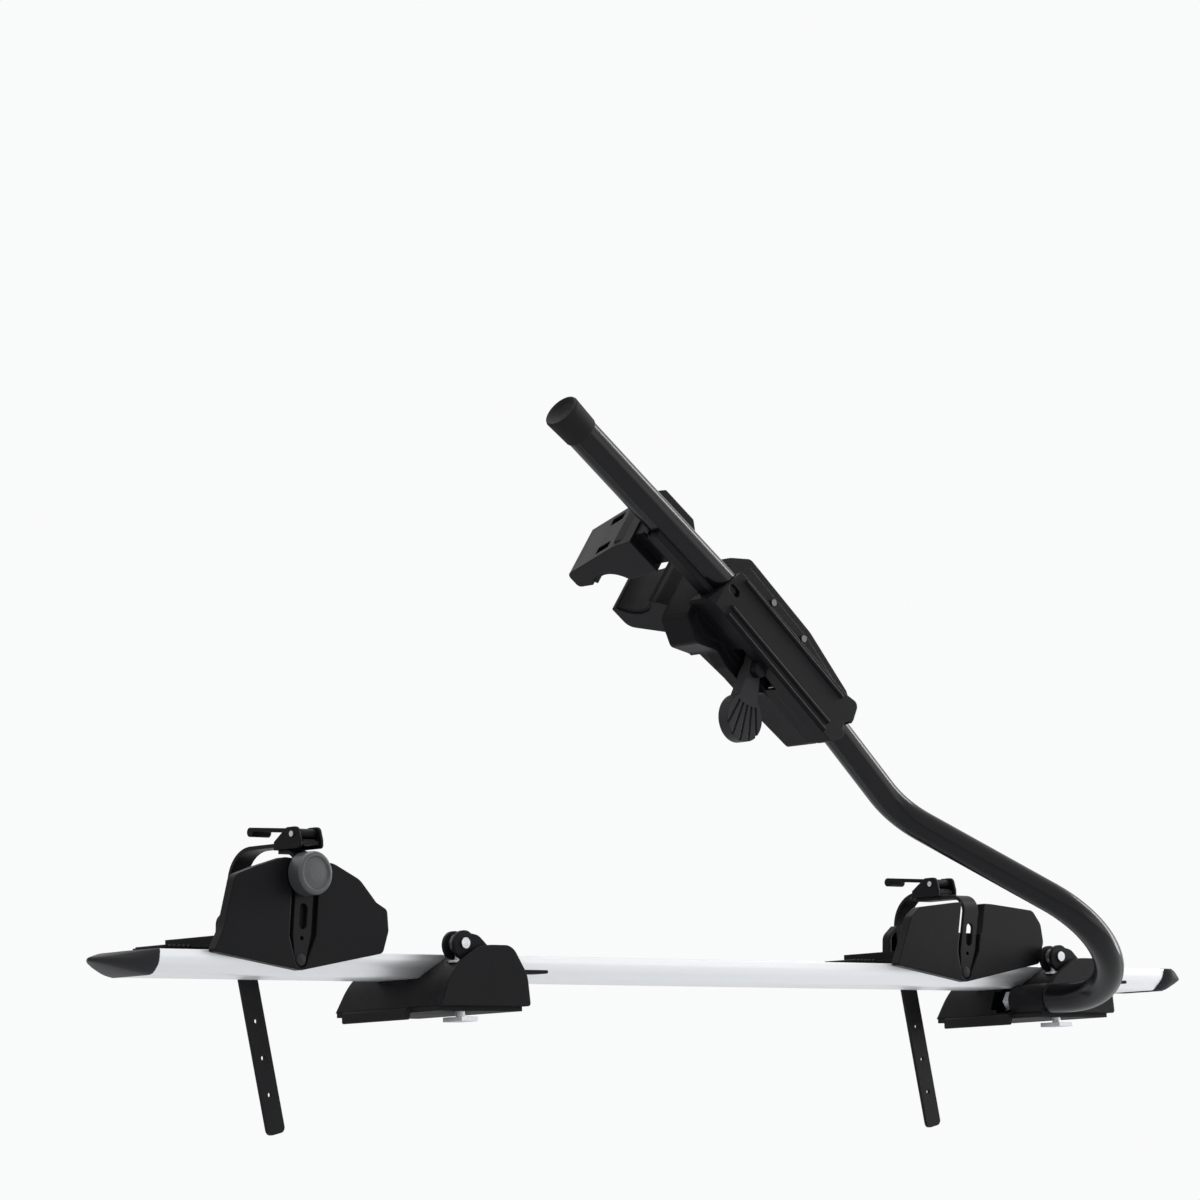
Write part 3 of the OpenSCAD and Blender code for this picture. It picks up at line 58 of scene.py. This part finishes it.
# %% [markdown]
# ## Helpers for node materials
# No real surface is perfectly even. Scanned pictures could give that unevenness, but they need files and
# an unwrapped mesh. Noise nodes need neither and stay sharp at any distance, so they are used here.
#
# A Principled shader keeps its plain values on its own sockets. `new_material` fills those. What varies
# over the surface is wired in with two more helpers:
#
# - `noise` makes the unevenness. Its `stretch` squeezes it along an axis, which is how drawn metal gets
#   long fine lines.
# - `spread` maps the noise's middle values to a range, such as 0.4 to 0.5 for roughness.

# %% Material helpers
noise_middle = (0.3, 0.7)


def new_material(name, color, roughness, metallic=0.0):
    mat = bpy.data.materials.new(name)
    mat.use_nodes = True
    tree = mat.node_tree
    shader = tree.nodes["Principled BSDF"]
    shader.inputs["Base Color"].default_value = (*color, 1.0)
    shader.inputs["Roughness"].default_value = roughness
    shader.inputs["Metallic"].default_value = metallic
    mat.diffuse_color = (*color, 1.0)
    return mat, tree, shader


def noise(tree, scale, stretch=(1.0, 1.0, 1.0), detail=3.0):
    coords = tree.nodes.new("ShaderNodeTexCoord")
    mapping = tree.nodes.new("ShaderNodeMapping")
    mapping.inputs["Scale"].default_value = stretch
    texture = tree.nodes.new("ShaderNodeTexNoise")
    texture.inputs["Scale"].default_value = scale
    texture.inputs["Detail"].default_value = detail
    tree.links.new(coords.outputs["Object"], mapping.inputs["Vector"])
    tree.links.new(mapping.outputs["Vector"], texture.inputs["Vector"])
    return texture.outputs["Fac"]


def spread(tree, value, low, high):
    span = tree.nodes.new("ShaderNodeMapRange")
    span.inputs["From Min"].default_value = noise_middle[0]
    span.inputs["From Max"].default_value = noise_middle[1]
    span.inputs["To Min"].default_value = low
    span.inputs["To Max"].default_value = high
    tree.links.new(value, span.inputs["Value"])
    return span.outputs["Result"]


finish = {}
print("material, noise and spread helpers ready")

# %% [markdown]
# ## Fine relief and soft edges
# Mouldings and metal carry a relief too fine to model. Displacement could make it from real faces, at a
# great cost, so `grain` turns a height into a bump, which only bends the light. With `edge` above zero
# the bump starts from a Bevel node. That node rounds the way light falls on a sharp edge, as the small
# radius of a real edge does.

# %% Relief helper
bevel_samples = 6


def grain(tree, shader, height, strength, depth, edge=0.0):
    bump = tree.nodes.new("ShaderNodeBump")
    bump.inputs["Strength"].default_value = strength
    bump.inputs["Distance"].default_value = depth
    tree.links.new(height, bump.inputs["Height"])
    if edge > 0:
        bevel = tree.nodes.new("ShaderNodeBevel")
        bevel.samples = bevel_samples
        bevel.inputs["Radius"].default_value = edge
        tree.links.new(bevel.outputs["Normal"], bump.inputs["Normal"])
    tree.links.new(bump.outputs["Normal"], shader.inputs["Normal"])


print("relief helper ready")

# %% [markdown]
# ## Metals
# **The rail** is extruded aluminium with a satin anodised skin. Extrusion leaves lines along the rail.
# An anisotropic shader could hint at them, but it needs tangents, so the noise is stretched along X
# instead. Anodising is a clear layer that scatters light, so the shader is not a full metal: that keeps
# the sides pale.
#
# **Zinc-plated steel** is used for the clamp bolts, cam pins, buckle pins, the axle and its nut. A fine
# spangle varies its roughness. **Dark steel** has an oxide skin, so it is rougher.

# %% Metals
mat, tree, shader = new_material("rail_aluminium", (0.78, 0.79, 0.80), 0.42, 0.75)
drawn = noise(tree, 1.0, (3.0, 900.0, 900.0), 4.0)
tree.links.new(spread(tree, drawn, 0.36, 0.48), shader.inputs["Roughness"])
grain(tree, shader, drawn, 0.08, 0.0003, 0.0006)
finish["rail_aluminium"] = mat

mat, tree, shader = new_material("zinc_steel", (0.46, 0.47, 0.49), 0.36, 1.0)
spangle = noise(tree, 420.0)
tree.links.new(spread(tree, spangle, 0.28, 0.46), shader.inputs["Roughness"])
grain(tree, shader, spangle, 0.08, 0.0003, 0.0004)
finish["zinc_steel"] = mat

mat, tree, shader = new_material("dark_steel", (0.13, 0.13, 0.14), 0.45, 1.0)
oxide = noise(tree, 300.0)
tree.links.new(spread(tree, oxide, 0.38, 0.55), shader.inputs["Roughness"])
grain(tree, shader, oxide, 0.10, 0.0003, 0.0003)
finish["dark_steel"] = mat
print("metals:", ", ".join(finish))

# %% [markdown]
# ## Plastics and rubber
# The brackets, wheel holders, buckles and clamp are black mouldings with a spark-eroded texture: a very
# fine bump and a broad highlight. Their edges get the widest bevel, because mouldings have the softest
# edges. A glossy black would mirror the whole studio, so the specular level is kept low: the pieces read
# as black, and only their edges catch light.
#
# All of them differ in a few numbers only, so one function, `moulding`, makes them. It ends with
# `dusted`, which lightens what faces up, a little and unevenly, as road dust does.

# %% Moulding helpers
dust_tint = (0.20, 0.19, 0.17, 1.0)
dust_patches = 28.0
flow_marks = 9.0
skin_depth = 0.0004


def dusted(tree, shader, color, amount):
    facing = tree.nodes.new("ShaderNodeNewGeometry")
    split = tree.nodes.new("ShaderNodeSeparateXYZ")
    tree.links.new(facing.outputs["Normal"], split.inputs["Vector"])
    up = tree.nodes.new("ShaderNodeMath")
    up.operation = "MULTIPLY"
    up.use_clamp = True
    tree.links.new(split.outputs["Z"], up.inputs[0])
    tree.links.new(spread(tree, noise(tree, dust_patches, detail=6.0), 0.0, amount), up.inputs[1])
    mix = tree.nodes.new("ShaderNodeMix")
    mix.data_type = "RGBA"
    mix.inputs["A"].default_value = (*color, 1.0)
    mix.inputs["B"].default_value = dust_tint
    tree.links.new(up.outputs["Value"], mix.inputs["Factor"])
    tree.links.new(mix.outputs["Result"], shader.inputs["Base Color"])


def moulding(name, color, rough, grain_size, strength, edge, dust=0.10, shine=0.08):
    mat, tree, shader = new_material(name, color, sum(rough) / 2)
    shader.inputs["Specular IOR Level"].default_value = shine
    tree.links.new(spread(tree, noise(tree, flow_marks), *rough), shader.inputs["Roughness"])
    grain(tree, shader, noise(tree, grain_size), strength, skin_depth, edge)
    dusted(tree, shader, color, dust)
    finish[name] = mat


print("dust and moulding helpers ready")

# %% [markdown]
# ## The five mouldings
# The end caps, bush and thumb paddle are a greyer plastic than the rest, and the round strap cap is
# lighter still and has more shine. The straps are smoother. The pads and the handle's sleeve are rubber:
# rough, with a coarse grain.

# %% Plastics and rubber
moulding("black_moulding", (0.005, 0.005, 0.006), (0.38, 0.50), 1600.0, 0.20, 0.0016)
moulding("grey_moulding", (0.026, 0.026, 0.028), (0.38, 0.48), 1500.0, 0.18, 0.0012)
moulding("cap_grey", (0.052, 0.053, 0.056), (0.32, 0.42), 1800.0, 0.10, 0.0008, dust=0.05, shine=0.5)
moulding("strap_plastic", (0.010, 0.010, 0.011), (0.34, 0.46), 1200.0, 0.15, 0.0006, dust=0.06)
moulding("black_rubber", (0.014, 0.014, 0.014), (0.58, 0.72), 900.0, 0.30, 0.0008)
print("mouldings:", ", ".join(list(finish)[3:]))

# %% [markdown]
# ## Powder coat
# Both tubes of the arm are powder coated. The powder melts to a smooth skin with a slow orange-peel
# ripple, so the bump is coarse and shallow. One sharp highlight would look like paint and one broad one
# like rubber. The skin gives the broad one here, and a clear coat adds the sharp long one.

# %% Powder coat
mat, tree, shader = new_material("black_powder_coat", (0.004, 0.004, 0.005), 0.28)
shader.inputs["Specular IOR Level"].default_value = 0.08
tree.links.new(spread(tree, noise(tree, 6.0), 0.26, 0.36), shader.inputs["Roughness"])
grain(tree, shader, noise(tree, 260.0, detail=1.5), 0.03, 0.0003)
shader.inputs["Coat Weight"].default_value = 0.3
shader.inputs["Coat Roughness"].default_value = 0.10
finish["black_powder_coat"] = mat
print("tubes: black_powder_coat")

# %% [markdown]
# ## Who wears what
# The record names a material slot for every node, and the finishes above carry the same names. A list
# of nodes could be typed here, but reading the record keeps the two in step. A CAD mesh is never edited:
# only its list of materials is filled.

# %% Put the finishes on
for part in frame["record"]["subparts"]:
    mesh = nodes[part["node"]].data
    mesh.materials.clear()
    mesh.materials.append(finish[part["material_slot"]])

# %% [markdown]
# ## End caps
# The photograph shows each end of the rail running out into a bow, like a boat's: narrow in plan, with a
# belly that rises to a nose near the top. Such a shape could be sculpted, but a loft keeps to the rail's
# measured size: one cross-section is repeated along the cap, and each ring is narrower, shallower and
# rounder than the last.
#
# The section below is half of the rail's outline, as shares of its half width and its height.
# `rounder` slides its points towards an ellipse.

# %% End cap section
half_section = [
    (0.0, 0.0), (0.62, 0.0), (0.73, 0.05), (0.82, 0.17), (0.93, 0.38), (0.965, 0.52),
    (0.985, 0.68), (1.0, 0.88), (0.99, 0.96), (0.96, 1.0), (0.0, 1.0),
]
section = half_section + [(-y, z) for y, z in half_section[-2:0:-1]]


def rounder(y, z, share):
    turn = math.atan2(2.0 * z - 1.0, y)
    return y + share * (math.cos(turn) - y), z + share * (0.5 + 0.5 * math.sin(turn) - z)


print(len(section), "points in the section")

# %% [markdown]
# ### The loft
# `cap_rings` lists the points ring by ring. The belly rises, the top drops and the plan narrows, each
# along its own curve. The loft stops just short of the full length, so the nose has a small flat instead
# of a needle point. A skirt above zero adds a first ring, which laps over the rail with a slanted edge.
#
# `bow_cap` joins neighbouring rings with quads. Two flat faces close the loft at the rail and at the
# nose, so the cap is a solid. Faces run the other way round at the other end of the rail, to keep their
# normals outward.

# %% Loft helpers
rail_lo, rail_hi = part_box("rail")
lap = 0.0005
cap_steps = 24
nose_stop = 0.99
plan_round = 0.8
belly_rise = 0.58
skirt_slant = 0.4


def cap_rings(end, way, length, skirt, plan, drop, bend):
    wide = rail_hi.y + lap
    low = rail_lo.z - lap
    tall = rail_hi.z + lap - low
    verts = []
    if skirt > 0:
        for y, z in section:
            verts.append((end - way * skirt * (1.0 + skirt_slant * (1.0 - z)), wide * y, low + tall * z))
    for i in range(cap_steps + 1):
        along = nose_stop * i / cap_steps
        narrow = wide * (1.0 - along ** plan) ** plan_round
        belly = low + belly_rise * tall * along ** bend
        top = low + tall * (1.0 - drop * along ** bend)
        for y, z in (rounder(y, z, along) for y, z in section):
            verts.append((end + way * length * along, narrow * y, belly + (top - belly) * z))
    return verts


def bow_cap(node, way, verts):
    count = len(section)
    faces = []
    for start in range(0, len(verts) - count, count):
        for i in range(count):
            j = (i + 1) % count
            quad = [start + i, start + j, start + count + j, start + count + i]
            faces.append(quad if way > 0 else quad[::-1])
    base = list(range(count))
    nose = list(range(len(verts) - count, len(verts)))
    faces += [base[::-1], nose] if way > 0 else [base, nose[::-1]]
    mesh = bpy.data.meshes.new(node + "_bow")
    mesh.from_pydata(verts, [], faces)
    mesh.polygons.foreach_set("use_smooth", [True] * (len(faces) - 2) + [False, False])
    mesh.materials.append(finish["grey_moulding"])
    cap = bpy.data.objects.new(node + "_bow", mesh)
    scene.collection.objects.link(cap)
    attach(cap, "carrier")
    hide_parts(node)
    print(node, "lofted from", len(verts) // count, "rings")


# %% [markdown]
# ### The two caps
# The rear cap's belly stays full for longer. The front cap has the skirt, and its nose is straighter.

# %% End caps
rear = cap_rings(rail_lo.x, -1, length=0.0445, skirt=0.0, plan=1.5, drop=0.3, bend=1.45)
bow_cap("rear_end_cap", -1, rear)
front = cap_rings(rail_hi.x, 1, length=0.046, skirt=0.012, plan=1.6, drop=0.40, bend=1.0)
bow_cap("front_end_cap", 1, front)

# %% [markdown]
# ## Floor
# The carrier is seen from below its own height, so the floor lies well under it. A curved sweep could
# hide the horizon, but a plain wide plane is enough here and keeps the soft shadow.

# %% Floor
middle = (0.3, 0.0, 0.2)
floor_drop = 0.8
bpy.ops.mesh.primitive_plane_add(size=30.0, location=(middle[0], middle[1], middle[2] - floor_drop))
floor = bpy.context.object
floor.name = "floor"
floor.data.materials.append(new_material("floor_grey", (0.72, 0.72, 0.72), 0.9)[0])
print("floor", floor_drop, "m below the middle of the carrier")

# %% [markdown]
# ## Backdrop
# The world lights the set evenly. A brighter world would give a white background too, but it would also
# wash out the black pieces. So a Light Path node shows a plain pale backdrop to the camera alone, and to
# mirror and glass rays, so that bare metal shows it as well.

# %% Backdrop
world = bpy.data.worlds.new("studio")
scene.world = world
world.use_nodes = True
tree = world.node_tree
even = tree.nodes["Background"]
even.inputs["Color"].default_value = (0.90, 0.92, 0.95, 1.0)
even.inputs["Strength"].default_value = 0.75
pale = tree.nodes.new("ShaderNodeBackground")
pale.inputs["Color"].default_value = (0.955, 0.958, 0.96, 1.0)
pale.inputs["Strength"].default_value = 1.0
path = tree.nodes.new("ShaderNodeLightPath")
mix = tree.nodes.new("ShaderNodeMixShader")
seen = path.outputs["Is Camera Ray"]
for ray in ("Is Glossy Ray", "Is Transmission Ray"):
    either = tree.nodes.new("ShaderNodeMath")
    either.operation = "MAXIMUM"
    tree.links.new(seen, either.inputs[0])
    tree.links.new(path.outputs[ray], either.inputs[1])
    seen = either.outputs["Value"]
tree.links.new(seen, mix.inputs["Fac"])
tree.links.new(even.outputs["Background"], mix.inputs[1])
tree.links.new(pale.outputs["Background"], mix.inputs[2])
tree.links.new(mix.outputs["Shader"], tree.nodes["World Output"].inputs["Surface"])
print("even world with a pale backdrop")


# %% [markdown]
# ## Soft boxes
# Sun or point lamps would draw hard shadows and pinprick highlights, so all four lamps are large areas.
# The key is high on the left, the top light rims the upper edges, a wide panel on the right is what the
# rail mirrors, and a narrow box at its side draws the long streaks on the tubes.

# %% Soft boxes
def soft_box(name, place, target, width, height, power):
    light = bpy.data.lights.new(name, "AREA")
    light.shape = "RECTANGLE"
    light.size = width
    light.size_y = height
    light.energy = power
    lamp = bpy.data.objects.new(name, light)
    scene.collection.objects.link(lamp)
    lamp.location = place
    lamp.rotation_euler = (Vector(target) - Vector(place)).to_track_quat("-Z", "Y").to_euler()


soft_box("key", (-1.8, -2.0, 3.0), middle, 1.6, 1.6, 26.0)
soft_box("top", (0.6, 0.4, 3.2), middle, 2.6, 1.6, 55.0)
soft_box("panel", (3.0, -3.3, 0.5), middle, 2.6, 1.6, 14.0)
soft_box("side", (3.4, -0.6, 0.9), middle, 0.6, 2.4, 45.0)
print("four soft boxes")

# %% [markdown]
# ## Camera
# The camera stands low and looks slightly up through a long lens. A Track To constraint could aim it,
# but not roll it, so its yaw, pitch and roll give three unit vectors instead: ahead, right and down.
# Those are the columns of its matrix, and the last column is where it stands.

# %% Camera
stand = Vector((-2.9257, -3.2746, -0.1821))
yaw, pitch, roll = math.radians(44.0), math.radians(6.995), math.radians(1.678)
ahead = Vector((math.cos(pitch) * math.sin(yaw), math.cos(pitch) * math.cos(yaw), math.sin(pitch)))
level = Vector((math.cos(yaw), -math.sin(yaw), 0.0))
down = ahead.cross(level)
right = level * math.cos(roll) + down * math.sin(roll)
down = ahead.cross(right)
camera = bpy.data.objects.new("camera", bpy.data.cameras.new("camera"))
scene.collection.objects.link(camera)
camera.data.lens = 151.9
camera.data.sensor_width = 36.0
camera.data.clip_end = 60.0
camera.matrix_world = Matrix((
    (right.x, -down.x, -ahead.x, stand.x),
    (right.y, -down.y, -ahead.y, stand.y),
    (right.z, -down.z, -ahead.z, stand.z),
    (0.0, 0.0, 0.0, 1.0),
))
scene.camera = camera
print("camera with a", round(camera.data.lens, 1), "mm lens")
